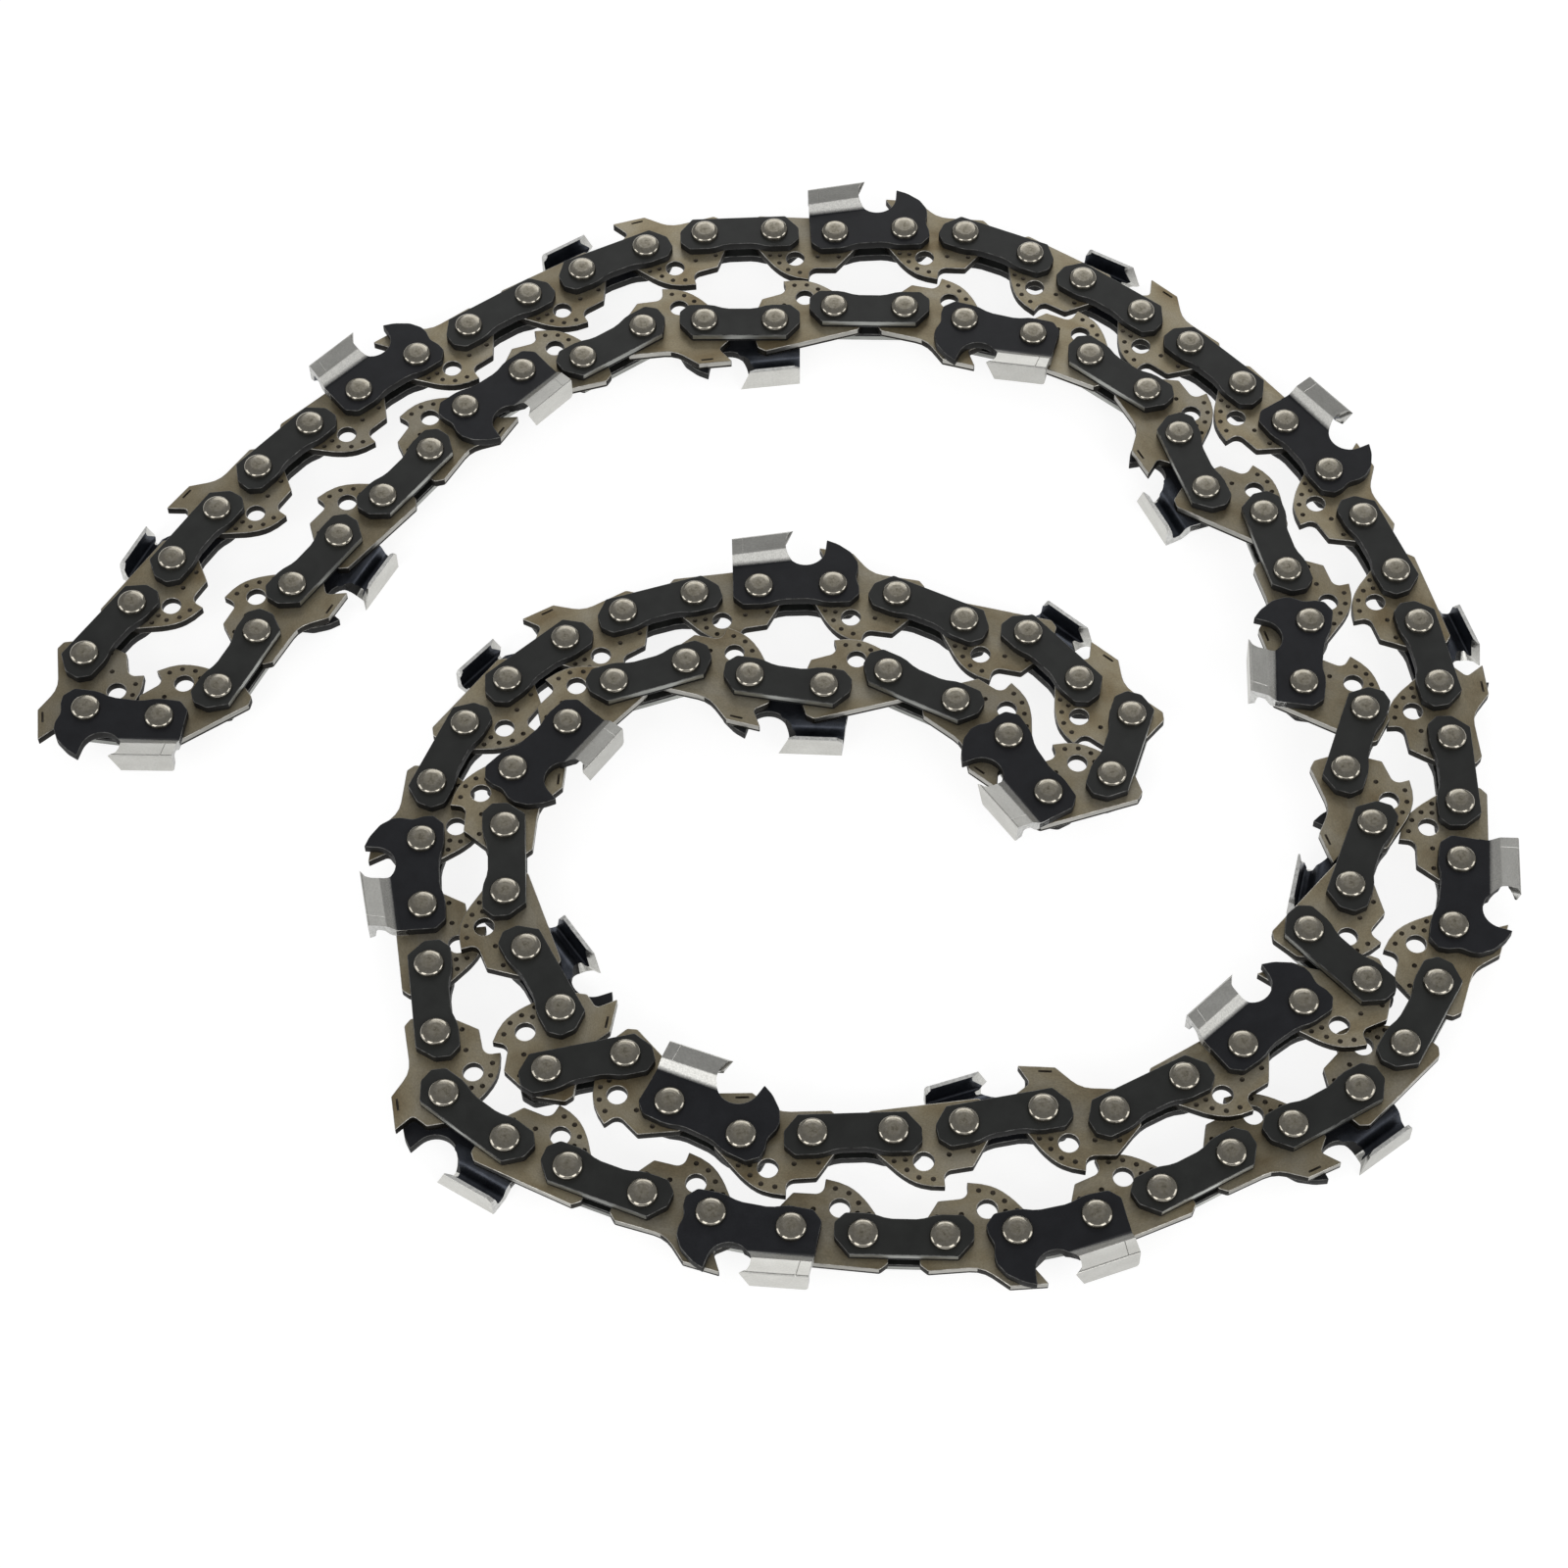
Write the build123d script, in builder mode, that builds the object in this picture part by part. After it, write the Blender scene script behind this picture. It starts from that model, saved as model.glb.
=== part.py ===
"""Low-profile saw chain, one closed loop of 62 drive links, lying on its side in two curled strands.

Every drive link hangs between two side links on rivet pins. Odd side links are plain tie straps on both
faces. Even ones carry a cutter on one face, upper and lower in turn, and the drive link ahead of a cutter
has a bumper fin beside the depth gauge. The teeth point to the left of travel and the drive tangs to the
right, so the tangs of the two strands face each other and lie one over the other where they meet.
"""
import math
import os

from build123d import *

# Pitch of the pins: across a side link, and across a drive link
STRAP_PITCH = 9.92
DRIVE_PITCH = 8.73
SIDE_LINKS = 62
PINS = 2 * SIDE_LINKS

# Stack across the chain, from the middle plane outwards
GAUGE = 1.3
SIDE_PLAY = 0.1
STRAP_THICKNESS = 1.3
HEAD_HEIGHT = 0.9
HEAD_DIAMETER = 3.8
STRAP_BASE = GAUGE / 2 + SIDE_PLAY
STRAP_FACE = STRAP_BASE + STRAP_THICKNESS

# Side links, measured from the pin line: teeth side positive
END_REACH = 3.5
STRAP_OUTER = 2.65
STRAP_INNER = -2.9
STRAP_WAIST = -2.25
SLOPE_LENGTH = 1.8
SLOPE_DROP = 2.35
CORNER_CUT = 1.3

# Cutter: gullet and depth gauge, each point as (back from the front pin, height), then the folded tooth
GULLET_BACK = 3.0
GULLET_HEIGHT = 3.4
HEEL_BACK = 1.0
HEEL_HEIGHT = 5.2
TIP_BACK = 0.6
TIP_HEIGHT = 7.4
BROW_BACK = -1.75
BROW_HEIGHT = 6.2
GAUGE_FRONT = 3.5
FOLD_HEIGHT = 3.55
RELIEF_ANGLE = 7
TOOTH_FRONT = 4.8
BEND_RISE = 1.2
BEND_KICK = 1.2
SIDE_RISE = 2.1
SIDE_KICK = 0.55
TOP_PLATE_WIDTH = 3.7
TOP_PLATE_THICKNESS = 1.1
TOP_PLATE_ANGLE = 30
CORNER_HEIGHT = STRAP_FACE + BEND_KICK + SIDE_KICK

# Drive link: back, tang, sprocket notch and hole, bumper fin
DRIVE_REACH = 3.3
BACK_HEIGHT = 3.8
BACK_STEP = 0.9
FRONT_SHOULDER = -1.2
REAR_SHOULDER = -0.9
TANG_DEPTH = -7.6
TANG_TIP = 5.4
TANG_BELLY = (1.3, -6.4)
NOTCH_DEPTH = -5.4
NOTCH_START = 0.4
NOTCH_LENGTH = 3.1
NOTCH_FALL = 0.2
HOLE_DIAMETER = 2.6
HOLE_PLACE = (3.2, -3.9)
FIN_HEIGHT = 6.6
FIN_TIP = -3.2
FIN_THROAT = (-1.6, 4.2)
FIN_FRONT = 1.5
FIN_FOOT = 4.8

# The lie of the loop in plan: pin number and place of chosen pins, for the pitch named below
LIE_STEP = 18.65
LIE = [
    (0, -93, 23), (1, -87, 31), (4, -71, 54), (8, -43, 78), (12, -9, 94), (14, 9, 94), (16, 27, 93),
    (18, 44, 84), (28, 87, 6), (34, 70, -45), (36, 54, -54), (38, 37, -62), (41, 8, -64), (44, -18, -58),
    (46, -35, -50), (47, -42, -44), (48, -44, -35), (52, -45, 2), (56, -21, 28), (58, -3, 32),
    (60, 16, 30), (61, 24, 26), (62, 33, 23), (63, 39, 16), (64, 45.5, 10), (65, 42.5, 0.5), (66, 34, -2),
    (67, 29, 7), (68, 23, 12), (69, 14, 17), (70, 5, 15), (72, -13, 19), (73, -22, 16), (74, -28, 10),
    (75, -35, 3), (76, -36, -6), (78, -33, -24), (79, -28, -33), (80, -30, -42), (81, -20, -40),
    (82, -15, -46), (83, -6, -51), (84, 3, -51), (86, 21, -50), (87, 31, -48), (88, 40, -49),
    (89, 49, -44), (90, 56, -40), (91, 64, -34), (92, 73, -31), (93, 66, -23), (94, 71.5, -17),
    (95, 75, -8), (96, 73, 0.5), (97, 75.5, 9.5), (98, 69, 14), (99, 70, 24), (100, 68, 32),
    (101, 65, 42), (102, 58, 48), (103, 55, 55.5), (106, 36, 74), (107, 27, 77), (109, 9, 80),
    (110, 0, 78), (112, -19, 77), (113, -27, 72), (114, -36, 69), (116, -48, 56), (120, -70, 26),
    (121, -74.5, 17), (122, -82, 12.5), (123, -92, 14),
]
SETTLE_ROUNDS = 300

# The inner strand is raised by one drive link where its tangs lie on the outer ones
LAY_CLEARANCE = 0.05
RAISED_FIRST_PIN = 71
RAISED_LAST_PIN = 98
RAMP_PINS = 13

# Cutters sit on every even side link; two upper ones follow each other where the count is odd
UPPER_CUTTERS = [*range(4, 21, 4), *range(22, 63, 4)]
LOWER_CUTTERS = [*range(2, 19, 4), *range(24, 61, 4)]
LINKS_PER_GROUP = 5


def settle(pins):
    """Shift neighbouring pins until each pair stands one pitch apart."""
    for _ in range(SETTLE_ROUNDS):
        for first in range(PINS):
            second = (first + 1) % PINS
            pitch = DRIVE_PITCH if first % 2 else STRAP_PITCH
            gap = pins[second] - pins[first]
            shift = gap * (0.5 - 0.5 * pitch / gap.length)
            pins[first] = pins[first] + shift
            pins[second] = pins[second] - shift
    return pins


def lift(pin):
    """Height of a pin above the chain that lies flat: an even rise to the raised stretch, then a fall."""
    outside = max(RAISED_FIRST_PIN - pin, pin - RAISED_LAST_PIN, 0)
    ramp = max(1 - outside / RAMP_PINS, 0)
    return (GAUGE + LAY_CLEARANCE) * ramp * ramp * (3 - 2 * ramp)


def link_location(first, second):
    """Frame of a link: origin on its first pin, X to its second, Z up as far as its tilt allows."""
    along = (second - first).normalized()
    up = Vector(0, 0, 1) - along * along.Z
    return Plane(origin=first, x_dir=along, z_dir=up).location


# Tie strap of the upper face, and its mirror image below
with BuildPart() as upper_strap:
    with BuildSketch(Plane.XY.offset(STRAP_BASE)):
        with BuildLine():
            Polyline(
                (-END_REACH + SLOPE_LENGTH, STRAP_OUTER),
                (-END_REACH, STRAP_OUTER - SLOPE_DROP),
                (-END_REACH, STRAP_INNER + CORNER_CUT),
                (-END_REACH + CORNER_CUT, STRAP_INNER),
                (STRAP_PITCH / 2, STRAP_WAIST),
                (STRAP_PITCH + END_REACH - CORNER_CUT, STRAP_INNER),
                (STRAP_PITCH + END_REACH, STRAP_INNER + CORNER_CUT),
                (STRAP_PITCH + END_REACH, STRAP_OUTER - SLOPE_DROP),
                (STRAP_PITCH + END_REACH - SLOPE_LENGTH, STRAP_OUTER),
                close=True,
            )
        make_face()
    extrude(amount=STRAP_THICKNESS)

with BuildPart() as lower_strap:
    mirror(upper_strap.part, about=Plane.XY)

# Cutter of the upper face: the folded tooth, trimmed along its cutting edge, then the side plate
fold_slope = math.tan(math.radians(RELIEF_ANGLE))
edge_angle = math.radians(TOP_PLATE_ANGLE)
edge_shift = math.tan(edge_angle)
fold_front = TOOTH_FRONT - (CORNER_HEIGHT - STRAP_FACE) * edge_shift
bend_height = FOLD_HEIGHT + BEND_RISE
top_height = bend_height + SIDE_RISE
top_under = top_height - TOP_PLATE_THICKNESS
side_under = CORNER_HEIGHT - TOP_PLATE_THICKNESS
free_edge = CORNER_HEIGHT - TOP_PLATE_WIDTH
rear_plane = Plane(origin=(-END_REACH, 0, 0), x_dir=(0, 1, 0), z_dir=(1, 0, 0))
edge_plane = Plane(
    origin=(TOOTH_FRONT, 0, CORNER_HEIGHT), z_dir=(math.cos(edge_angle), 0, -math.sin(edge_angle))
)

with BuildPart() as upper_cutter:
    with BuildSketch(rear_plane):
        with BuildLine():
            Polyline(
                (FOLD_HEIGHT, STRAP_BASE),
                (FOLD_HEIGHT, STRAP_FACE),
                (bend_height, STRAP_FACE + BEND_KICK),
                (top_height, CORNER_HEIGHT),
                (top_height, free_edge),
                (top_under, free_edge),
                (top_under, side_under - SIDE_KICK / 2),
                (bend_height, side_under - SIDE_KICK),
                close=True,
            )
        make_face()
    extrude(amount=STRAP_PITCH + END_REACH, dir=(1, fold_slope, 0))
    split(bisect_by=edge_plane, keep=Keep.BOTTOM)
    with BuildSketch(Plane.XY.offset(STRAP_BASE)):
        with BuildLine():
            Polyline(
                (-END_REACH, FOLD_HEIGHT),
                (-END_REACH, STRAP_INNER + CORNER_CUT),
                (-END_REACH + CORNER_CUT, STRAP_INNER),
                (STRAP_PITCH / 2, STRAP_WAIST),
                (STRAP_PITCH + END_REACH - CORNER_CUT, STRAP_INNER),
                (STRAP_PITCH + END_REACH, STRAP_INNER + CORNER_CUT),
                (STRAP_PITCH + END_REACH, GAUGE_FRONT),
                (STRAP_PITCH - BROW_BACK, BROW_HEIGHT),
                (STRAP_PITCH - TIP_BACK, TIP_HEIGHT),
                (STRAP_PITCH - HEEL_BACK, HEEL_HEIGHT),
                (STRAP_PITCH - GULLET_BACK, GULLET_HEIGHT),
                (fold_front, FOLD_HEIGHT + (fold_front + END_REACH) * fold_slope),
                close=True,
            )
        make_face()
    extrude(amount=STRAP_THICKNESS)

with BuildPart() as lower_cutter:
    mirror(upper_cutter.part, about=Plane.XY)

# Drive links, plain and with the bumper fin: one tang outline under two backs
tang_outline = [
    (DRIVE_PITCH + DRIVE_REACH, FRONT_SHOULDER),
    (DRIVE_PITCH + NOTCH_START, NOTCH_DEPTH),
    (DRIVE_PITCH + NOTCH_START - NOTCH_LENGTH, NOTCH_DEPTH - NOTCH_FALL),
    (TANG_TIP, TANG_DEPTH),
    TANG_BELLY,
    (-DRIVE_REACH, REAR_SHOULDER),
]
front_step = [
    (DRIVE_PITCH + DRIVE_REACH - BACK_STEP, BACK_HEIGHT),
    (DRIVE_PITCH + DRIVE_REACH, BACK_HEIGHT - BACK_STEP),
]
plain_back = [
    (-DRIVE_REACH, BACK_HEIGHT - BACK_STEP),
    (-DRIVE_REACH + BACK_STEP, BACK_HEIGHT),
]
bumper_back = [
    (-DRIVE_REACH, BACK_HEIGHT - BACK_STEP),
    FIN_THROAT,
    (FIN_TIP, FIN_HEIGHT),
    (FIN_FRONT, FIN_HEIGHT),
    (FIN_FOOT, BACK_HEIGHT),
]

with BuildPart() as plain_drive_link:
    with BuildSketch(Plane.XY.offset(-GAUGE / 2)):
        with BuildLine():
            Polyline(*plain_back, *front_step, *tang_outline, close=True)
        make_face()
        with Locations(HOLE_PLACE):
            RegularPolygon(radius=HOLE_DIAMETER / 2, side_count=6, mode=Mode.SUBTRACT)
    extrude(amount=GAUGE)

with BuildPart() as bumper_drive_link:
    with BuildSketch(Plane.XY.offset(-GAUGE / 2)):
        with BuildLine():
            Polyline(*bumper_back, *front_step, *tang_outline, close=True)
        make_face()
        with Locations(HOLE_PLACE):
            RegularPolygon(radius=HOLE_DIAMETER / 2, side_count=6, mode=Mode.SUBTRACT)
    extrude(amount=GAUGE)

# Peened head of a rivet on each face of the side links
with BuildPart() as upper_head:
    with BuildSketch(Plane.XY.offset(STRAP_FACE)) as head_foot:
        RegularPolygon(radius=HEAD_DIAMETER / 2, side_count=6)
    loft(sections=[head_foot.sketch, Vertex(0, 0, STRAP_FACE + HEAD_HEIGHT)], ruled=True)

with BuildPart() as lower_head:
    mirror(upper_head.part, about=Plane.XY)

# Pins at their pitch along the lie, with the lowest tooth corners at height zero
lie_scale = (STRAP_PITCH + DRIVE_PITCH) / LIE_STEP
lie_curve = Edge.make_spline(
    [Vector(x, y) * lie_scale for _, x, y in LIE],
    periodic=True,
    parameters=[*(pin for pin, _, _ in LIE), PINS],
)
lie_places = lie_curve.geom_adaptor()
plan = settle([Vector(lie_places.Value(pin)) for pin in range(PINS)])
pins = [Vector(place.X, place.Y, CORNER_HEIGHT + lift(pin)) for pin, place in enumerate(plan)]
side_places = [link_location(pins[2 * link], pins[2 * link + 1]) for link in range(SIDE_LINKS)]
drive_places = [link_location(pins[2 * link + 1], pins[(2 * link + 2) % PINS]) for link in range(SIDE_LINKS)]

# Side links with and without a cutter, and drive links with and without a fin, by their place in the loop
numbers = range(1, SIDE_LINKS + 1)
plain_uppers = [number for number in numbers if number not in UPPER_CUTTERS]
plain_lowers = [number for number in numbers if number not in LOWER_CUTTERS]
bumpers = [number for number in numbers if number in UPPER_CUTTERS + LOWER_CUTTERS]
plain_drives = [number for number in numbers if number not in bumpers]

# Move the loop so that the middle of its outline stands over the origin
extremes = Compound(
    [upper_cutter.part.moved(side_places[number - 1]) for number in UPPER_CUTTERS]
    + [lower_cutter.part.moved(side_places[number - 1]) for number in LOWER_CUTTERS]
    + [upper_strap.part.moved(place) for place in side_places]
    + [bumper_drive_link.part.moved(drive_places[number - 1]) for number in bumpers]
)
middle = extremes.bounding_box().center()
centring = Location((-middle.X, -middle.Y, 0))
side_places = [centring * place for place in side_places]
drive_places = [centring * place for place in drive_places]


def write_node(label, pieces):
    """Write one node: copies of each piece, as separate solids, at the places given with it."""
    with BuildPart() as node:
        for piece, places in pieces:
            if places:
                with Locations(*places):
                    add(piece.part)
    node.part.label = label
    export_step(node.part, f"parts/{label}.step")


os.makedirs("parts", exist_ok=True)

for count, number in enumerate(UPPER_CUTTERS, start=1):
    write_node(f"right_cutter_{count:02d}", [(upper_cutter, [side_places[number - 1]])])
for count, number in enumerate(LOWER_CUTTERS, start=1):
    write_node(f"left_cutter_{count:02d}", [(lower_cutter, [side_places[number - 1]])])

for count, start in enumerate(range(1, SIDE_LINKS + 1, LINKS_PER_GROUP), start=1):
    group = range(start, start + LINKS_PER_GROUP)
    write_node(
        f"drive_links_{count:02d}",
        [
            (plain_drive_link, [drive_places[number - 1] for number in plain_drives if number in group]),
            (bumper_drive_link, [drive_places[number - 1] for number in bumpers if number in group]),
        ],
    )
    write_node(
        f"tie_straps_{count:02d}",
        [
            (upper_strap, [side_places[number - 1] for number in plain_uppers if number in group]),
            (lower_strap, [side_places[number - 1] for number in plain_lowers if number in group]),
        ],
    )

# Rivet heads stand on both ends of every side link
front_pin = Location((STRAP_PITCH, 0, 0))
head_places = side_places + [place * front_pin for place in side_places]
write_node("rivet_heads_upper", [(upper_head, head_places)])
write_node("rivet_heads_lower", [(lower_head, head_places)])
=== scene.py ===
"""Looks of a low-profile saw chain that lies curled on its side.

Each kind of link is modelled once, in millimetres, with its origin on its rear pin at the middle of the
chain, X to its front pin, Y towards the teeth and Z up. The links are then set at the places that the
rivet heads of the frame mark, one piece for each node of the frame.
"""
import math

import bmesh
import bpy
from mathutils import Matrix, Vector
from mathutils.geometry import tessellate_polygon


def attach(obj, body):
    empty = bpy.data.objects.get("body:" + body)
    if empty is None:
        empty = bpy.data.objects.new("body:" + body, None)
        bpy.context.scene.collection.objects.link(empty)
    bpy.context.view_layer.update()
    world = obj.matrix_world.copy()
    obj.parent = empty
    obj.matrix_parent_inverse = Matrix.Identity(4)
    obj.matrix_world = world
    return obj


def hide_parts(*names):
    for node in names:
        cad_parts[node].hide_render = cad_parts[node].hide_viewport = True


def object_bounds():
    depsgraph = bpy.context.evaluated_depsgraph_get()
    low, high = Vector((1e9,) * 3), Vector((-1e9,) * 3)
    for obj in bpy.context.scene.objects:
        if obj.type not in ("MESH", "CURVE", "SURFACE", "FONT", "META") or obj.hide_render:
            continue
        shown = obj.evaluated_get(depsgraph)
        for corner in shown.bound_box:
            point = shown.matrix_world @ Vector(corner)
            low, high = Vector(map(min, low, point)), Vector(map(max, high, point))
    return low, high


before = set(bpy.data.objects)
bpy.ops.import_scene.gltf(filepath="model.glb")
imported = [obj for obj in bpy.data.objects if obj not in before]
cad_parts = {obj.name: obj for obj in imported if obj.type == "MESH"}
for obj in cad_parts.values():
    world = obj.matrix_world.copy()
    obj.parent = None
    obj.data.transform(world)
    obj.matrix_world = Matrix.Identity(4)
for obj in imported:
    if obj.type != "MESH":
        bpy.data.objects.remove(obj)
cad_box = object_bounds()

MM = 0.001

# Stack across the chain in millimetres, from its middle plane outwards, and the two spacings of its pins
GAUGE = 1.3
STRAP_BASE = 0.75
STRAP_FACE = 2.05
STRAP_PITCH = 9.92
DRIVE_PITCH = 8.73

# Rivet heads: the height of the frame's heads, then the dome that dresses them and the powers of its curve
HEAD_HEIGHT = 0.9
HEAD_RADIUS = 1.95
DOME_HEIGHT = 0.82
HEAD_SQUARENESS = 1 / 2
HEAD_FLATNESS = 2 / 3
HEAD_STEPS = 12

# Fineness of round forms, and the bend from which an edge looks sharp
ROUND_STEPS = 28
ARC_STEP = math.radians(14)
SHARP_ANGLE = math.radians(34)

# Limits at tight corners: the share of a side that an arc may take, and the least share for an inset mitre
ARC_REACH_SHARE = 0.48
LEAST_MITRE = 0.5

# Stamped edges: the width of the rounded rim and how many faces go round it
RIM = 0.09
RIM_STEPS = 3

# Worn walls: the share of a wall below its worn stretch, and the most X of the way along a worn wall
WORN_SHARE = 0.35
WORN_SLANT = -0.97

# Outlines as corners of (x, y, radius)
DRIVE_TANG = [
    (DRIVE_PITCH + 3.3, -1.2, 0.5),
    (DRIVE_PITCH + 0.35, -5.4, 0.35),
    (5.4, -5.55, 1.5),
    (5.3, -7.65, 0.1),
    (3.0, -7.25, 4.0),
    (1.4, -6.4, 3.5),
    (0.0, -5.1, 5.0),
    (-3.3, -0.9, 0.5),
]
DRIVE_FRONT = [(DRIVE_PITCH + 2.4, 3.8, 0.5), (DRIVE_PITCH + 3.3, 2.9, 0.5)]
PLAIN_BACK = [(-3.3, 2.9, 0.5), (-2.4, 3.8, 0.5)]
BUMPER_BACK = [
    (-3.3, 2.7, 0.4),
    (-1.6, 4.2, 0.6),
    (-3.2, 6.6, 0.1),
    (1.5, 6.55, 0.3),
    (4.6, 3.8, 4.0),
]
WAIST = [
    (-2.2, -2.9, 0.7),
    (0.9, -2.9, 3.0),
    (3.0, -2.2, 3.0),
    (STRAP_PITCH - 3.0, -2.2, 3.0),
    (STRAP_PITCH - 0.9, -2.9, 3.0),
    (STRAP_PITCH + 2.2, -2.9, 0.7),
]
STRAP = [
    (-1.7, 2.65, 0.4),
    (-3.5, 0.4, 0.9),
    (-3.5, -1.6, 0.6),
    *WAIST,
    (STRAP_PITCH + 3.5, -1.6, 0.6),
    (STRAP_PITCH + 3.5, 0.4, 0.9),
    (STRAP_PITCH + 1.7, 2.65, 0.4),
]

# Gullet of a cutter: the middle and radius of its arc, and the degrees that it runs through
GULLET_X = 6.4
GULLET_Y = 6.1
GULLET_RADIUS = 2.72
GULLET_START = 352
GULLET_END = 212
GULLET_STEP = 10
GULLET_TURNS = [math.radians(turn) for turn in range(GULLET_START, GULLET_END, -GULLET_STEP)]
GULLET = [
    (GULLET_X + GULLET_RADIUS * math.cos(turn), GULLET_Y + GULLET_RADIUS * math.sin(turn), 0)
    for turn in GULLET_TURNS
]
CUTTER_PLATE = [
    (-3.5, 3.5, 0.1),
    (-3.5, -1.6, 0.7),
    *WAIST,
    (STRAP_PITCH + 3.5, -1.6, 0.7),
    (STRAP_PITCH + 3.5, -0.3, 0.8),
    (STRAP_PITCH + 3.1, 1.1, 1.5),
    (STRAP_PITCH + 3.5, 2.6, 1.0),
    (STRAP_PITCH + 3.45, 3.7, 1.0),
    (STRAP_PITCH + 2.6, 5.3, 1.5),
    (STRAP_PITCH + 0.9, 6.7, 2.0),
    (STRAP_PITCH - 0.6, 7.4, 0.1),
    *GULLET,
]

# Drive links: the hole in the tang as (x, y, radius), and the height above which a link has a fin
SPROCKET_HOLE = (3.2, -3.9, 1.28)
FIN_LEAST = 5

# Punched marks: dots on the tang and a dash in the fin, with floors that are a share of their mouths
PIT_RADIUS = 0.35
PIT_DEPTH = 0.2
PIT_STEPS = 8
PIT_FLOOR_SHARE = 0.55
TANG_PITS = [
    (-0.4, -3.4),
    (1.0, -3.4),
    (1.0, -4.8),
    (2.3, -6.0),
    (4.0, -6.45),
    (6.4, -3.4),
    (9.4, -3.3),
]
FIN_DASH = [(-0.6, 5.75), (1.1, 5.75), (1.1, 6.05), (-0.6, 6.05)]

# Folded tooth of a cutter: its height at the fold, the crease and the corner, and the rims of its top plate
TOOTH_FOLD = 3.2
TOOTH_CREASE = 4.5
TOOTH_CORNER = 6.85
TOP_PLATE_TOP = 3.6
TOP_PLATE_FREE = 0.1

# Sections of the tooth's outer and inner side as (y, z, radius) at its rear end, from which it rises
TOOTH_OUTSIDE = [
    (2.0, 2.055, 0),
    (TOOTH_FOLD, 2.06, 0.8),
    (TOOTH_CREASE, 3.22, 0.5),
    (TOOTH_CORNER, 3.8, 0.22),
    (TOOTH_CORNER, TOP_PLATE_FREE, 0.15),
    (6.6, TOP_PLATE_FREE, 0),
]
TOOTH_INSIDE = [
    (2.0, 0.745, 0),
    (3.95, 0.74, 1.2),
    (4.8, 2.2, 0.6),
    (5.8, 2.55, 0.3),
    (6.15, 0.55, 3.0),
    (6.3, TOP_PLATE_FREE, 0),
]
TOOTH_REAR = -3.5
TOOTH_SLOPE = math.tan(math.radians(7))
FREE_CORNER_ROUND = 0.7
FREE_EDGE_BAND = 0.05

# Front of the tooth: a first guess, rounds that bring it to the gullet, and the radius share for its foot
TOOTH_FRONT = 4.3
GULLET_ROUNDS = 8
GULLET_FOOT = 0.9

# Cutting edge: hooked corner, sweep of the top plate, bevel inside, and how far the foot stays back
TOOTH_HOOK = 0.5
TOP_PLATE_SWEEP = math.tan(math.radians(20))
TOOTH_BEVEL = 0.9
FLUSH = 0.04

# Points of the tooth: in a bend, as shares of a straight run, and as shares of the length
TOOTH_BEND_STEPS = 5
TOOTH_RUN_SHARES = (0.5, 0.8, 0.9, 0.96)
TOOTH_LENGTH_SHARES = (0, 0.1, 0.176, 0.182, 0.19, 0.198, 0.204, 0.3, 0.45, 0.6, 0.75, 0.9, 1)

# Mark line across the side of the tooth: its row of points, the rows that bend with it, and its groove
MARK_ROW = 4
ROWS_BESIDE = 2
MARK_ROWS = range(MARK_ROW - ROWS_BESIDE, MARK_ROW + ROWS_BESIDE + 1)
MARK_BULGE = 0.05
MARK_DEPTH = 0.045

# Heights from which the bend of the tooth is ground bare, at its rear end and at its front
BARE_REAR = 3.25
BARE_FRONT = 3.05

# Looks of a plate: its face, its rim, its wall, the wall of its tooth side and its punched marks
# The rims of these plates carry a painted highlight; the wall and the punched marks of a drive link carry
# painted shade
DRIVE_SLOTS = ("drive_face", "drive_rim", "drive_wall", "drive_worn", "drive_pit")
STRAP_SLOTS = ("strap_face", "strap_rim", "strap_wall", "strap_worn", "strap_face")
CUTTER_SLOTS = ("cutter_face", "cutter_rim", "cutter_wall", "cutter_wall", "cutter_face")

# Camera as fitted to the photograph: the point it aims at, in the frame, and its distance from there
AIM = Vector((2.35, -15.38, 6.65)) * MM
DISTANCE = 493 * MM
ELEVATION = math.radians(57.43)
ROLL = math.radians(1.05)
FOCAL_PIXELS = 3886
IMAGE_PIXELS = 1600


# Forms of the links

class Form:
    """Points and faces of one kind of link, gathered stretch by stretch."""

    def __init__(self):
        self.points = []
        self.faces = []
        self.slots = []
        self.flat = []
        self.bare = {}

    def point(self, place):
        """One more point, as its index."""
        self.points.append(place)
        return len(self.points) - 1

    def ring(self, loop, height):
        """Points of a closed loop at one height, as indices."""
        return [self.point((x, y, height)) for x, y in loop]

    def face(self, corners, slot, flat=False):
        self.faces.append(tuple(corners))
        self.slots.append(slot)
        self.flat.append(flat)

    def strip(self, lower, upper, slot, closed=True):
        """Band of faces between two rows of as many points, seen from the right of the way they run."""
        count = len(lower)
        for here in range(count if closed else count - 1):
            there = (here + 1) % count
            self.face((lower[here], lower[there], upper[there], upper[here]), slot)

    def wear(self, count, slot):
        """Give the last faces that look straight to the tooth side another slot."""
        for index in range(len(self.faces) - count, len(self.faces)):
            first, second = (Vector(self.points[corner]) for corner in self.faces[index][:2])
            if (second - first).normalized().x < WORN_SLANT:
                self.slots[index] = slot

    def cap(self, rings, slot, upward):
        """Flat face within the first ring and round the others."""
        loops = [[Vector(self.points[index]) for index in ring] for ring in rings]
        indices = [index for ring in rings for index in ring]
        for triangle in tessellate_polygon(loops):
            a, b, c = (Vector(self.points[indices[corner]]) for corner in triangle)
            up = (b - a).cross(c - a).z > 0
            corners = [indices[corner] for corner in triangle]
            self.face(corners if up == upward else corners[::-1], slot, flat=True)


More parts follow.
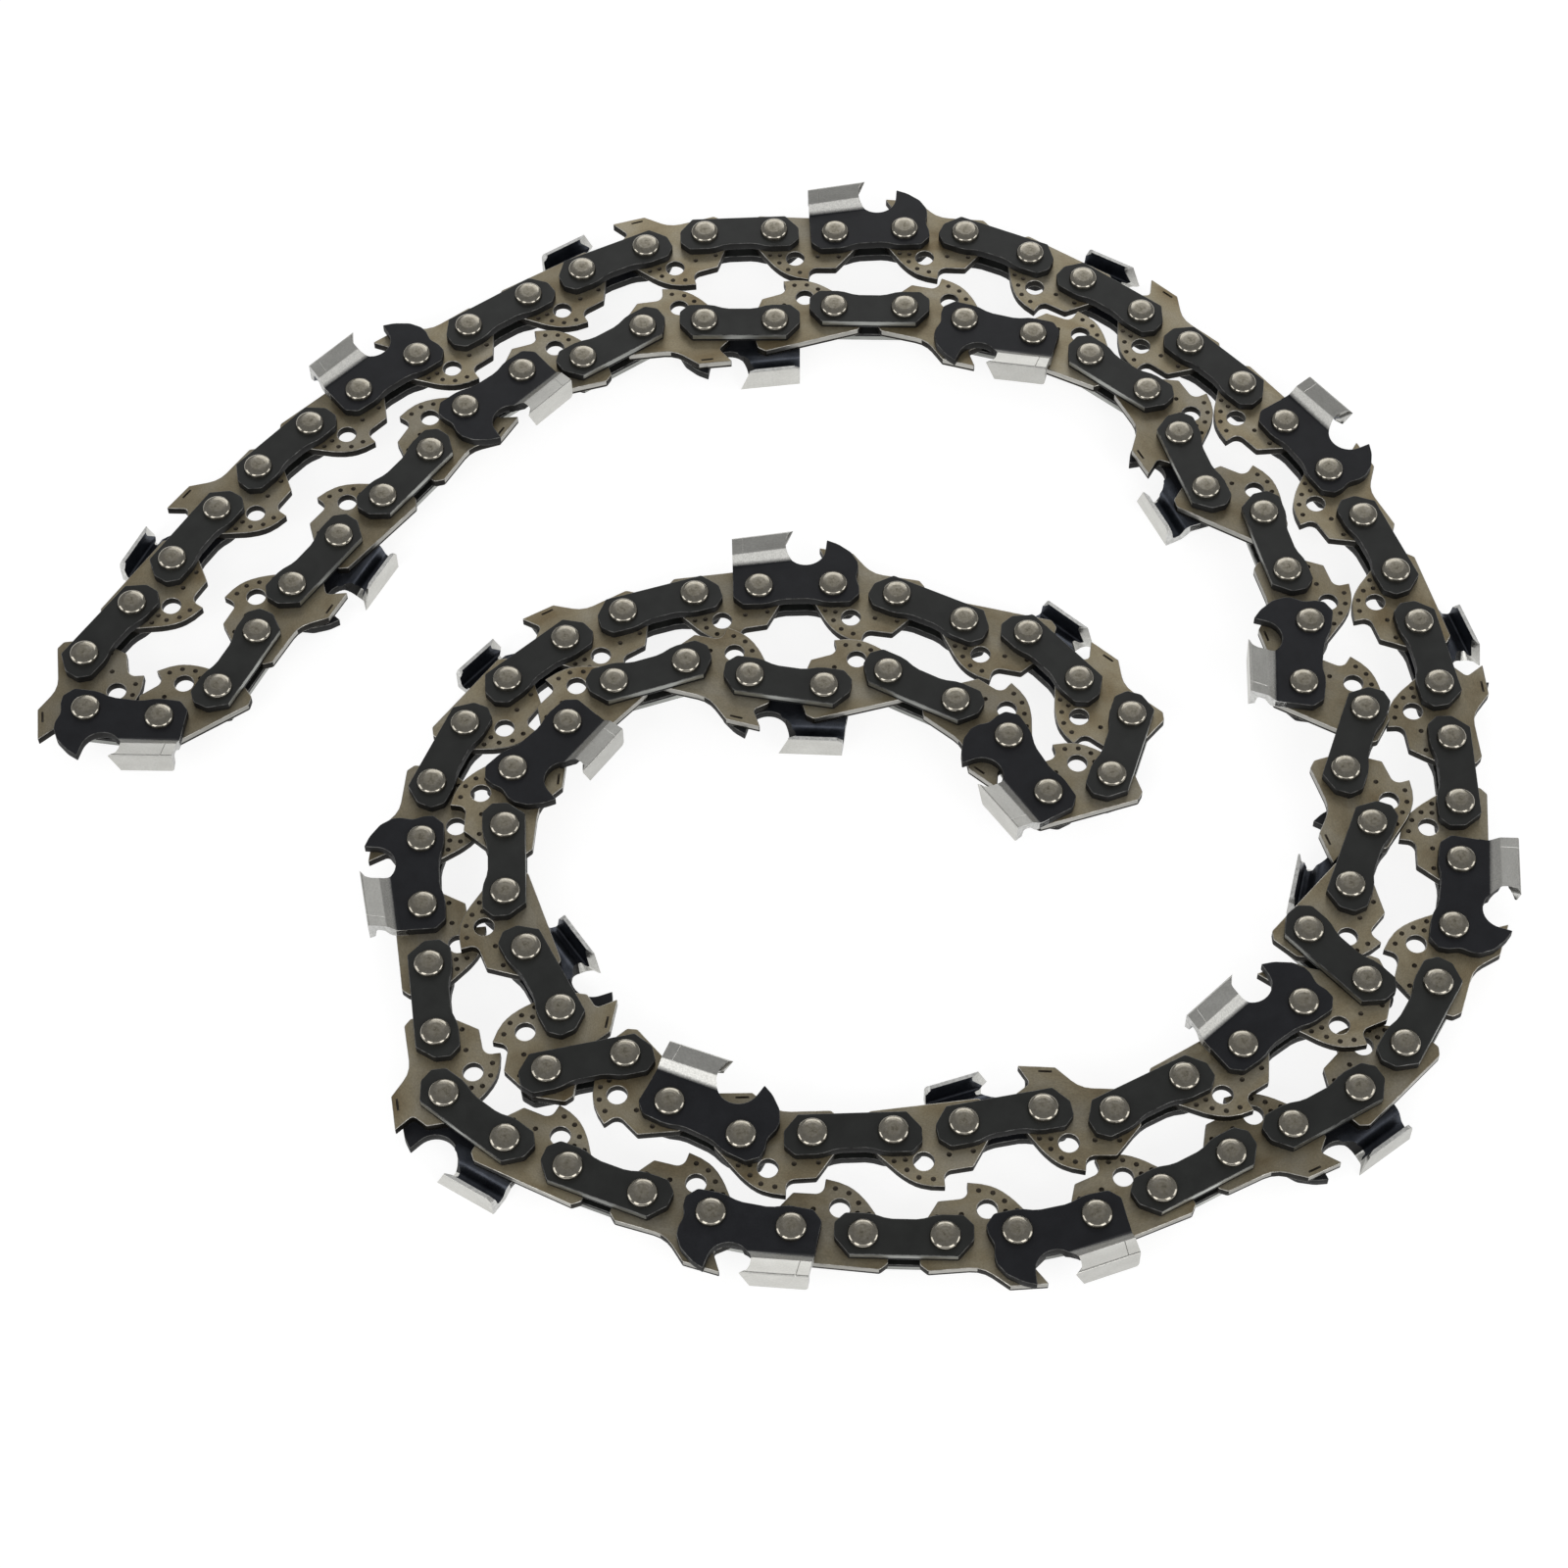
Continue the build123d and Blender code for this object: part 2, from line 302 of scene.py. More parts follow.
def rounded(corners):
    """Counter-clockwise loop through the corners, with an arc of the given radius at each."""
    loop = []
    count = len(corners)
    for index, (x, y, radius) in enumerate(corners):
        here = Vector((x, y))
        before = Vector(corners[index - 1][:2]) - here
        after = Vector(corners[(index + 1) % count][:2]) - here
        loop.extend(arc(here, before, after, radius))
    area = sum(a.cross(b) for a, b in zip(loop, loop[1:] + loop[:1]))
    return loop if area > 0 else loop[::-1]


def arc(corner, before, after, radius, steps=None):
    """Points that round a corner between the ways to its two neighbours."""
    if radius == 0:
        return [corner]
    half_opening = before.angle(after) / 2
    reach = radius / math.tan(half_opening)
    reach = min(reach, before.length * ARC_REACH_SHARE, after.length * ARC_REACH_SHARE)
    radius = reach * math.tan(half_opening)
    turn = math.pi - 2 * half_opening
    if steps is None:
        steps = max(1, round(turn / ARC_STEP))
    start = corner + before.normalized() * reach
    end = corner + after.normalized() * reach
    inward = (before.normalized() + after.normalized()).normalized()
    centre = corner + inward * (radius / math.sin(half_opening))
    points = []
    for step in range(steps + 1):
        share = step / steps
        chord = start.lerp(end, share) - centre
        points.append(centre + chord.normalized() * radius)
    return points


def inset(loop, distance):
    """The loop moved to its left, corner by corner."""
    moved = []
    count = len(loop)
    for index, here in enumerate(loop):
        before = (here - loop[index - 1]).normalized()
        after = (loop[(index + 1) % count] - here).normalized()
        way = before + after
        left = Vector((-way.y, way.x)).normalized()
        mitre = max(LEAST_MITRE, left.dot(Vector((-before.y, before.x))))
        moved.append(here + left * (distance / mitre))
    return moved


def circle(x, y, radius, count):
    return [
        Vector((x + radius * math.cos(turn), y + radius * math.sin(turn)))
        for turn in (2 * math.pi * index / count for index in range(count))
    ]


def pit(form, loop, height, slot):
    """Punched mark in an upper face: returns its mouth, which the face goes round."""
    mouth = form.ring(loop, height)
    centre = sum(loop, Vector((0, 0))) / len(loop)
    floor_loop = [centre + (point - centre) * PIT_FLOOR_SHARE for point in loop]
    floor_ring = form.ring(floor_loop, height - PIT_DEPTH)
    form.strip(mouth, floor_ring, slot)
    form.face(floor_ring, slot)
    return mouth


def wall_rows(form, loop, base, top):
    """Rows of points up the wall of a plate, with a quarter round at both ends and a seam between them."""
    turns = [math.pi / 2 * step / RIM_STEPS for step in range(RIM_STEPS + 1)]
    rims = [(inset(loop, RIM * (1 - math.cos(turn))), RIM * (1 - math.sin(turn))) for turn in turns]
    lower = [form.ring(narrowed, base + away) for narrowed, away in reversed(rims)]
    seam = form.ring(loop, base + (top - base) * WORN_SHARE)
    upper = [form.ring(narrowed, top - away) for narrowed, away in rims]
    return [*lower, seam, *upper]


def plate(form, outline, base, top, slots, holes=(), pits=()):
    """Stamped plate: walls with rounded rims, and flat faces round the holes and the punched marks."""
    face_slot, rim_slot, wall_slot, worn_slot, pit_slot = slots
    tops, bottoms = [], []
    for loop in [outline, *holes]:
        rows = wall_rows(form, loop, base, top)
        for row, (lower, upper) in enumerate(zip(rows, rows[1:])):
            wall = RIM_STEPS <= row <= RIM_STEPS + 1
            form.strip(lower, upper, wall_slot if wall else rim_slot)
            if row == RIM_STEPS + 1 and loop is outline:
                form.wear(len(lower), worn_slot)
        bottoms.append(rows[0])
        tops.append(rows[-1])
    mouths = [pit(form, loop, top, pit_slot) for loop in pits]
    form.cap(tops + mouths, face_slot, upward=True)
    form.cap(bottoms, face_slot, upward=False)


def drive_link(back, marks=()):
    """Drive link with its tang, sprocket hole, punched dots and the given marks."""
    form = Form()
    hole = circle(*SPROCKET_HOLE, ROUND_STEPS)[::-1]
    dots = [circle(*spot, PIT_RADIUS, PIT_STEPS) for spot in TANG_PITS]
    outline = rounded([*back, *DRIVE_FRONT, *DRIVE_TANG])
    plate(form, outline, -GAUGE / 2, GAUGE / 2, DRIVE_SLOTS, [hole], [*dots, *marks])
    return form


def bumper_link():
    """Drive link whose back rises into a fin with a dash in it."""
    dash = [Vector(corner) for corner in FIN_DASH]
    return drive_link(BUMPER_BACK, [dash])


def tie_strap():
    form = Form()
    plate(form, rounded(STRAP), STRAP_BASE, STRAP_FACE, STRAP_SLOTS)
    return form


def section(corners):
    """Open line of a folded sheet through (y, z, radius) corners, with as many points for every sheet."""
    arcs = [[Vector(corners[0][:2])]]
    for before, here, after in zip(corners, corners[1:], corners[2:]):
        corner = Vector(here[:2])
        ways = Vector(before[:2]) - corner, Vector(after[:2]) - corner
        arcs.append(arc(corner, *ways, here[2], TOOTH_BEND_STEPS))
    arcs.append([Vector(corners[-1][:2])])
    points = list(arcs[0])
    for before, after in zip(arcs, arcs[1:]):
        points.extend(before[-1].lerp(after[0], share) for share in TOOTH_RUN_SHARES)
        points.extend(after)
    return points


def on_top_plate(place):
    """Whether a place of the outer section belongs to the top plate."""
    return place.x > TOOTH_CORNER - TOOTH_HOOK and place.y < TOP_PLATE_TOP


def tooth_front(place):
    """How far the tooth reaches: along the gullet to its hooked corner, then back over the top plate."""
    height = TOOTH_CORNER if on_top_plate(place) else place.x
    front = TOOTH_FRONT
    for _ in range(GULLET_ROUNDS):
        rise = (front - TOOTH_REAR) * TOOTH_SLOPE
        away = min(abs(height + rise - GULLET_Y), GULLET_RADIUS * GULLET_FOOT)
        front = GULLET_X - math.sqrt(GULLET_RADIUS ** 2 - away ** 2)
    if place.x < TOOTH_FOLD:
        front -= FLUSH
    if on_top_plate(place):
        front -= (TOP_PLATE_TOP - place.y) * TOP_PLATE_SWEEP
    return front + max(0, height - TOOTH_CORNER + TOOTH_HOOK)


def tooth_rear(place):
    """Where the tooth starts: straight across, but for the rounded corner of the free edge."""
    away = max(place.y - TOP_PLATE_FREE, 0)
    if not on_top_plate(place) or away > FREE_CORNER_ROUND:
        return TOOTH_REAR
    reach = math.sqrt(FREE_CORNER_ROUND ** 2 - (FREE_CORNER_ROUND - away) ** 2)
    return TOOTH_REAR + FREE_CORNER_ROUND - reach


def share_between(value, start, end):
    """How far a value lies on the way from a start to an end, from 0 to 1."""
    return min(max((value - start) / (end - start), 0), 1)


def tooth_sheet(form, points, outside):
    """Columns of points of one side of the sheet, each from the rear end of the tooth to its front."""
    bevel = 0 if points is outside else TOOTH_BEVEL
    columns = []
    for place, outer_place in zip(points, outside):
        bevelled = bevel * share_between(outer_place.x, TOOTH_FOLD - TOOTH_HOOK, TOOTH_FOLD)
        front = tooth_front(outer_place) - bevelled
        rear = tooth_rear(outer_place)
        across = share_between(outer_place.x, TOOTH_CREASE, TOOTH_CORNER)
        marked = points is outside and 0 < across < 1 and not on_top_plate(place)
        column = []
        for row, along in enumerate(TOOTH_LENGTH_SHARES):
            if row in MARK_ROWS:
                along += MARK_BULGE * across * (1 - across)
            x = rear + (front - rear) * along
            rise = (x - TOOTH_REAR) * TOOTH_SLOPE
            depth = MARK_DEPTH if marked and row == MARK_ROW else 0
            index = form.point((x, place.x + rise, place.y - depth))
            form.bare[index] = place.x - BARE_REAR - (BARE_FRONT - BARE_REAR) * along
            column.append(index)
        columns.append(column)
    return columns


def tooth(form):
    """Folded tooth: a bent sheet that rises from the plate and turns over into the top plate."""
    outside = section(TOOTH_OUTSIDE)
    outer = tooth_sheet(form, outside, outside)
    inner = tooth_sheet(form, section(TOOTH_INSIDE), outside)
    for index, here in enumerate(outside[:-1]):
        slot = "tooth_side"
        if here.x < TOOTH_CREASE:
            slot = "tooth_bend"
        elif here.y < TOP_PLATE_FREE + FREE_EDGE_BAND:
            slot = "tooth_edge"
        form.strip(outer[index], outer[index + 1], slot, closed=False)
        form.strip(inner[index + 1], inner[index], "tooth_inside", closed=False)
        front = (outer[index][-1], inner[index][-1], inner[index + 1][-1], outer[index + 1][-1])
        form.face(front, "cutter_wall" if here.x < TOOTH_CREASE else "tooth_ground")
        rear = (outer[index][0], outer[index + 1][0], inner[index + 1][0], inner[index][0])
        form.face(rear, "tooth_edge")
    form.strip(outer[-1], inner[-1], "tooth_edge", closed=False)
    form.strip(inner[0], outer[0], "tooth_inside", closed=False)


def cutter():
    form = Form()
    plate(form, rounded(CUTTER_PLATE), STRAP_BASE, STRAP_FACE, CUTTER_SLOTS)
    tooth(form)
    return form


def rivet_head():
    """Peened head: a low dome with a flattened, spun middle, closed by a flat face on the strap."""
    form = Form()
    rows = []
    for step in range(HEAD_STEPS):
        turn = math.pi / 2 * step / HEAD_STEPS
        radius = HEAD_RADIUS * math.cos(turn) ** HEAD_SQUARENESS
        height = STRAP_FACE + DOME_HEIGHT * math.sin(turn) ** HEAD_FLATNESS
        rows.append(form.ring(circle(0, 0, radius, ROUND_STEPS), height))
    for lower, upper in zip(rows, rows[1:]):
        form.strip(lower, upper, "rivet")
    tip = form.point((0, 0, STRAP_FACE + DOME_HEIGHT))
    for here in range(ROUND_STEPS):
        form.face((rows[-1][here], rows[-1][(here + 1) % ROUND_STEPS], tip), "rivet")
    form.face(rows[0][::-1], "rivet", flat=True)
    return form


# Materials

# Noise: the span of its usual values, its detail for clouds and for grain, and the depth of the grain
NOISE_SPAN = (0.3, 0.7)
CLOUD_DETAIL = 3
GRAIN_DETAIL = 4
GRAIN_DEPTH = 0.05

# Steel ground bare: how soft and how ragged its border is, and its speckle
BARE_BLUR = 0.5
BARE_RAGGED = 0.2
SPECKLE_SCALE = 5
SPECKLE_DETAIL = 5
SPECKLE_ROUGHNESS = 0.65
SPECKLE_SPAN = (0.35, 0.65)

# Rivet heads: mottle that wanders in and out, stops of its colour, and fine rings that the spinning left
MOTTLE_SHIFT = (37, 53, 71)
MOTTLE_SCALE = 2.4
MOTTLE_DETAIL = 6
MOTTLE_ROUGHNESS = 0.7
MOTTLE_REACH = 6
MOTTLE_SPAN = (1.5, 5.5)
MOTTLE_STOPS = [
    (0.2, (0.145, 0.13, 0.097)),
    (0.45, (0.28, 0.257, 0.206)),
    (0.85, (0.38, 0.356, 0.305)),
]
SPUN_RADII = (0.7, 1.7)
SPUN_ROUGHNESS = (0.42, 0.12)
RING_TURNS = 14
RING_BUMP = 0.14
RING_DEPTH = 0.02

# Colours of each steel, from the darkest to the brightest
BLACK = [(0.0078, 0.0086, 0.0076), (0.015, 0.0164, 0.015)]
BLUE_BLACK = [(0.008, 0.0086, 0.0112), (0.012, 0.013, 0.0162)]
# Rims of the blued straps and cutters, lighter than their faces: a painted highlight along the edges
DARK_RIM_HIGHLIGHT = [(0.035, 0.035, 0.035), (0.17, 0.17, 0.165)]
DARK_WALL = [(0.006, 0.006, 0.006), (0.016, 0.016, 0.0155)]
WORN = [(0.22, 0.225, 0.212), (0.44, 0.45, 0.425)]
GROUND = [(0.30, 0.295, 0.27), (0.46, 0.45, 0.42)]
BRONZE = [(0.22, 0.172, 0.098), (0.31, 0.266, 0.178), (0.36, 0.325, 0.25)]
# Rims of the drive links, brighter than their faces: a painted highlight along the edges
RIM_HIGHLIGHT = [(0.30, 0.28, 0.24), (0.62, 0.60, 0.55)]
# Walls of the drive links, near-black and much darker than their faces: painted shade
WALL = [(0.006, 0.0055, 0.0045), (0.022, 0.0195, 0.0155)]
SILVER = [(0.52, 0.516, 0.49), (0.72, 0.714, 0.68)]
GREY = [(0.55, 0.546, 0.515), (0.61, 0.606, 0.575)]
# Dark brown of the punched marks in the drive links: painted shade in the recesses
PIT_SHADE_BROWN = [(0.035, 0.028, 0.019), (0.075, 0.062, 0.045)]
SHEEN = [(0.045, 0.05, 0.062), (0.085, 0.093, 0.112)]
EDGE = [(0.52, 0.52, 0.505), (0.74, 0.74, 0.72)]

# How much the grain is drawn out along a link
LENGTHWISE = (0.15, 1, 1)
HALF_LENGTHWISE = (0.5, 1, 1)
SLIGHTLY_LENGTHWISE = (0.6, 1, 1)


class Look:
    """Material in the making: each step adds a node and hands on its output."""

    def __init__(self, name):
        self.material = bpy.data.materials.new(name)
        self.material.use_nodes = True
        self.tree = self.material.node_tree
        self.shader = self.tree.nodes["Principled BSDF"]

    def feed(self, node, inputs):
        """Give inputs of a node their values, or link them to outputs of other nodes."""
        for key, value in inputs.items():
            if isinstance(value, bpy.types.NodeSocket):
                self.tree.links.new(value, node.inputs[key])
            else:
                node.inputs[key].default_value = value

    def add(self, kind, inputs, **settings):
        """New node of a kind, with its settings and inputs."""
        node = self.tree.nodes.new(kind)
        for name, value in settings.items():
            setattr(node, name, value)
        self.feed(node, inputs)
        return node

    def attribute(self, name, output):
        return self.add("ShaderNodeAttribute", {}, attribute_name=name).outputs[output]

    def noise(self, place, scale, detail, roughness=0.5):
        inputs = {"Vector": place, "Scale": scale, "Detail": detail, "Roughness": roughness}
        return self.add("ShaderNodeTexNoise", inputs).outputs["Fac"]

    def calculate(self, operation, *values):
        return self.add("ShaderNodeMath", dict(enumerate(values)), operation=operation).outputs["Value"]

    def vector(self, operation, inputs, output="Vector"):
        return self.add("ShaderNodeVectorMath", inputs, operation=operation).outputs[output]

    def spread(self, value, source, target=(0, 1)):
        """The value, with one range stretched to another and kept within it."""
        inputs = {
            "Value": value,
            "From Min": source[0],
            "From Max": source[1],
            "To Min": target[0],
            "To Max": target[1],
        }
        return self.add("ShaderNodeMapRange", inputs).outputs["Result"]

    def ramp(self, value, stops):
        """Colour that runs through stops of (position, colour)."""
        node = self.add("ShaderNodeValToRGB", {"Fac": value})
        elements = node.color_ramp.elements
        for position, _ in stops[1:-1]:
            elements.new(position)
        for element, (position, colour) in zip(elements, stops):
            element.position = position
            element.color = (*colour, 1)
        return node.outputs["Color"]

    def bump(self, height, strength, depth):
        inputs = {"Height": height, "Strength": strength, "Distance": depth * MM}
        self.feed(self.shader, {"Normal": self.add("ShaderNodeBump", inputs).outputs["Normal"]})

    def uncover(self, socket, kind, share, value):
        """Let a value take the place of what feeds a socket of the shader, by a share."""
        mix = self.add("ShaderNodeMix", {}, data_type=kind)
        used = [index for index, own in enumerate(mix.inputs) if own.enabled]
        covered = self.shader.inputs[socket].links[0].from_socket
        self.feed(mix, dict(zip(used, (share, covered, value))))
        mixed = next(own for own in mix.outputs if own.enabled)
        self.feed(self.shader, {socket: mixed})


def steel(
    name, colours, roughness, metallic=0.0, specular=0.5, scale=0.5, stretch=(1, 1, 1), fine=6.0, bump=0.0,
    grain_range=0.15, tint_range=0.12,
):
    """Steel whose colour wanders over a few millimetres and from link to link, with a finer grain on top."""
    look = Look(name)
    mapping = look.add("ShaderNodeMapping", {"Vector": look.attribute("local", "Vector"), "Scale": stretch})
    place = mapping.outputs["Vector"]
    cloud = look.noise(place, scale, CLOUD_DETAIL)
    grain = look.noise(place, fine, GRAIN_DETAIL)
    low, high = NOISE_SPAN
    last = len(colours) - 1
    stops = [(low + (high - low) * index / last, colour) for index, colour in enumerate(colours)]
    link_shade = look.spread(look.attribute("tint", "Fac"), (0, 1), (1 - tint_range, 1 + tint_range))
    grain_shade = look.spread(grain, NOISE_SPAN, (1 - grain_range, 1 + grain_range))
    shade = look.calculate("MULTIPLY", link_shade, grain_shade)
    look.feed(look.shader, {
        "Base Color": look.vector("SCALE", {0: look.ramp(cloud, stops), "Scale": shade}),
        "Roughness": look.spread(grain, NOISE_SPAN, roughness),
        "Metallic": metallic,
        "Specular IOR Level": specular,
    })
    if bump:
        look.bump(grain, bump, GRAIN_DEPTH)
    return look


def laid_bare(look, colours, roughness):
    """Turn a steel into bare, speckled metal above the line where the tooth's grinding starts."""
    place = look.attribute("local", "Vector")
    speckle = look.noise(place, SPECKLE_SCALE, SPECKLE_DETAIL, SPECKLE_ROUGHNESS)
    ragged = look.calculate("MULTIPLY_ADD", speckle, BARE_RAGGED, look.attribute("bare", "Fac"))
    border = BARE_RAGGED / 2
    bare = look.spread(ragged, (border, border + BARE_BLUR))
    look.feed(look.shader, {"Metallic": bare})
    look.uncover("Base Color", "RGBA", bare, look.ramp(speckle, list(zip(SPECKLE_SPAN, colours))))
    look.uncover("Roughness", "FLOAT", bare, roughness)
    return look


def rivet_steel(name):
    """Peened steel: brownish and dull where the spinning tool met the middle, bright round the rim."""
    look = Look(name)
    local = look.attribute("local", "Vector")
    in_plan = look.vector("MULTIPLY", {0: local, 1: (1, 1, 0)})
    radius = look.vector("LENGTH", {0: in_plan}, "Value")
    shift = look.vector("SCALE", {0: MOTTLE_SHIFT, "Scale": look.attribute("tint", "Fac")})
    place = look.vector("ADD", {0: local, 1: shift})
    mottle = look.noise(place, MOTTLE_SCALE, MOTTLE_DETAIL, MOTTLE_ROUGHNESS)
    wander = look.calculate("MULTIPLY_ADD", mottle, MOTTLE_REACH, radius)
    rings = look.calculate("SINE", look.calculate("MULTIPLY_ADD", radius, RING_TURNS, mottle))
    look.feed(look.shader, {
        "Base Color": look.ramp(look.spread(wander, MOTTLE_SPAN), MOTTLE_STOPS),
        "Roughness": look.spread(radius, SPUN_RADII, SPUN_ROUGHNESS),
        "Metallic": 1,
    })
    look.bump(rings, RING_BUMP, RING_DEPTH)
    return look


def tooth_bend_steel():
    """Blued steel like the cutter's face that is ground bare towards the crease."""
    blued = steel("tooth_bend", BLUE_BLACK, roughness=(0.36, 0.48), specular=0.28)
    return laid_bare(blued, SILVER, roughness=0.45)


looks = {
    "strap_face": steel("blued_strap_face", BLACK, roughness=(0.42, 0.55), specular=0.42, scale=0.35),
    # Lighter rims of the straps: painted highlight
    "strap_rim": steel("blued_strap_rim_painted_highlight", DARK_RIM_HIGHLIGHT, roughness=(0.3, 0.45), metallic=0.8, scale=1.2),
    "strap_wall": steel("blued_strap_wall", DARK_WALL, roughness=(0.5, 0.65), specular=0.2),
    "strap_worn": steel(
        "worn_strap_edge", WORN, roughness=(0.42, 0.55), metallic=1.0, scale=0.8, stretch=LENGTHWISE,
        tint_range=0.4,
    ),
    "cutter_face": steel("blued_cutter_face", BLUE_BLACK, roughness=(0.36, 0.48), specular=0.28),
    # Lighter rims of the cutters: painted highlight
    "cutter_rim": steel("blued_cutter_rim_painted_highlight", DARK_RIM_HIGHLIGHT, roughness=(0.3, 0.45), metallic=0.8, scale=1.2),
    "cutter_wall": steel("blued_cutter_wall", DARK_WALL, roughness=(0.5, 0.65), specular=0.2),
    "tooth_bend": tooth_bend_steel(),
    "tooth_side": steel(
        "tooth_side", GREY, roughness=(0.36, 0.46), metallic=1.0, scale=0.6, stretch=HALF_LENGTHWISE,
        fine=7.0, bump=0.02, grain_range=0.1,
    ),
    "tooth_inside": steel("tooth_inside", SHEEN, roughness=(0.3, 0.4), metallic=0.9),
    "tooth_ground": steel("tooth_ground", GREY, roughness=(0.3, 0.4), metallic=1.0, scale=2.0),
    "tooth_edge": steel("tooth_edge", EDGE, roughness=(0.4, 0.55), metallic=0.7, scale=2.0),
    "drive_face": steel(
        "drive_link_face", BRONZE, roughness=(0.34, 0.46), metallic=0.65, scale=0.22,
        stretch=SLIGHTLY_LENGTHWISE, tint_range=0.2,
    ),
    # Bright rims of the drive links: painted highlight
    "drive_rim": steel("drive_link_rim_painted_highlight", RIM_HIGHLIGHT, roughness=(0.28, 0.42), metallic=1.0, scale=1.0),
    # Near-black walls of the drive links: painted shade
    "drive_wall": steel(
        "drive_link_wall_painted_shade", WALL, roughness=(0.5, 0.6), metallic=0.6, specular=0.2, scale=1.0
    ),
    "drive_worn": steel(
        "worn_drive_link_back", GROUND, roughness=(0.36, 0.5), metallic=1.0, scale=0.8, stretch=LENGTHWISE
    ),
    # Dark punched marks of the drive links: painted shade in the recesses
    "drive_pit": steel("drive_link_dots_painted_shade", PIT_SHADE_BROWN, roughness=(0.5, 0.6), metallic=0.5),
    "rivet": rivet_steel("peened_rivet"),
}


# Meshes of the forms

def finish_form(form, name):
    """Mesh of a form in metres, with sharp edges marked and its own coordinates kept for the materials."""
    mesh = bpy.data.meshes.new(name)
    mesh.from_pydata([Vector(point) * MM for point in form.points], [], form.faces)
    slots = sorted(set(form.slots))
    for slot in slots:
        mesh.materials.append(looks[slot].material)
    mesh.polygons.foreach_set("material_index", [slots.index(slot) for slot in form.slots])
    mesh.polygons.foreach_set("use_smooth", [True] * len(form.faces))
    local = mesh.attributes.new("local", "FLOAT_VECTOR", "POINT")
    local.data.foreach_set("vector", [value for point in form.points for value in point])
    if form.bare:
        bare = mesh.attributes.new("bare", "FLOAT", "POINT")
        bare.data.foreach_set("value", [form.bare.get(index, 0) for index in range(len(form.points))])
    work = bmesh.new()
    work.from_mesh(mesh)
    for edge in work.edges:
        flats = [form.flat[face.index] for face in edge.link_faces]
        if len(flats) == 2 and (flats[0] != flats[1] or edge.calc_face_angle(0) > SHARP_ANGLE):
            edge.smooth = False
    work.to_mesh(mesh)
    work.free()
    return mesh


forms = {
    "plain": finish_form(drive_link(PLAIN_BACK), "plain_drive_link"),
    "bumper": finish_form(bumper_link(), "bumper_drive_link"),
    "strap": finish_form(tie_strap(), "tie_strap"),
    "cutter": finish_form(cutter(), "cutter"),
    "head": finish_form(rivet_head(), "rivet_head"),
}


# Places of the links, read from the solids of the frame

# Distance at which corners are joined, height of a head's tip over its pin's middle, and mirror to below
WELD_DISTANCE = 0.001 * MM
PIN_HEIGHT = (STRAP_FACE + HEAD_HEIGHT) * MM
FLIP = Matrix.Diagonal((1, 1, -1, 1))


def solids(node):
    """Corner points of each separate solid of a node."""
    work = bmesh.new()
    work.from_mesh(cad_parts[node].data)
    bmesh.ops.remove_doubles(work, verts=work.verts, dist=WELD_DISTANCE)
    unseen = set(work.verts)
    found = []
    for first in work.verts:
        if first not in unseen:
            continue
        unseen.remove(first)
        waiting = [first]
        corners = []
        while waiting:
            vertex = waiting.pop()
            corners.append(vertex.co.copy())
            for edge in vertex.link_edges:
                other = edge.other_vert(vertex)
                if other in unseen:
                    unseen.remove(other)
                    waiting.append(other)
        found.append(corners)
    work.free()
    return found


def centre_of(corners):
    return sum(corners, Vector()) / len(corners)


def pin_below(corners):
    """Middle of the pin whose upper head has the given corners."""
    tip = max(corners, key=lambda corner: corner.z)
    return tip - Vector((0, 0, PIN_HEIGHT))


pins = [pin_below(corners) for corners in solids("rivet_heads_upper")]


def own_pins(point):
    """The two pins that lie nearest to a point in plan, as indices."""
    return sorted(range(len(pins)), key=lambda index: (pins[index] - point).xy.length)[:2]


def place_of(rear, front):
    """Frame of a link on two pins, given as indices."""
    along = (pins[front] - pins[rear]).normalized()
    up = (Vector((0, 0, 1)) - along * along.z).normalized()
    across = up.cross(along)
    turn = Matrix((along, across, up)).transposed().to_4x4()
    return Matrix.Translation(pins[rear]) @ turn


def drive_pins(corners):
    """Rear and front pin of a drive link, whose tang lies on the right of the way between them."""
    centre = centre_of(corners)
    rear, front = own_pins(centre)
    way = pins[front] - pins[rear]
    if way.cross(centre - pins[rear]).z > 0:
        return front, rear
    return rear, front


def drive_kind(corners, place):
    """Kind of a drive link at its place: only a bumper link has a fin."""
    tallest = max((place.inverted() @ corner).y for corner in corners)
    return "bumper" if tallest > FIN_LEAST * MM else "plain"


node_names = sorted(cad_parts)
drive_fronts = set()
drive_places = {}
for node in node_names:
    if node.startswith("drive"):
        drive_places[node] = []
        for corners in solids(node):
            rear, front = drive_pins(corners)
            place = place_of(rear, front)
            drive_places[node].append((drive_kind(corners, place), place))
            drive_fronts.add(front)

# Side links start on the front pin of a drive link, and those of the lower side are mirrored
side_places = {}
for node in node_names:
    if node.startswith(("tie", "left", "right")):
        kind = "strap" if node.startswith("tie") else "cutter"
        side_places[node] = []
        for corners in solids(node):
            centre = centre_of(corners)
            rear, front = own_pins(centre)
            if rear not in drive_fronts:
                rear, front = front, rear
            place = place_of(rear, front)
            below = (place.inverted() @ centre).z < 0
            side_places[node].append((kind, place @ FLIP if below else place))

# Every side link of the upper side has a head on both its pins, and the heads of the lower side mirror them
next_pin = Matrix.Translation((STRAP_PITCH * MM, 0, 0))
upper_sides = [place for placed in side_places.values() for _, place in placed if place.determinant() > 0]
upper_heads = [place for first in upper_sides for place in (first, first @ next_pin)]
head_places = {
    "rivet_heads_upper": [("head", place) for place in upper_heads],
    "rivet_heads_lower": [("head", place @ FLIP) for place in upper_heads],
}


# Pieces, one for each node of the frame

# Steps that spread the tints from place to place, and how far a tint shifts the grain of a link
TINT_STEP_X = 0.6180
TINT_STEP_Y = 0.7548
GRAIN_SHIFT = (173, 97, 41)


def tint_of(place):
    """A shade between 0 and 1 for a link, from where it lies."""
    spot = place.translation / MM
    return math.modf(abs(spot.x * TINT_STEP_X + spot.y * TINT_STEP_Y))[0]


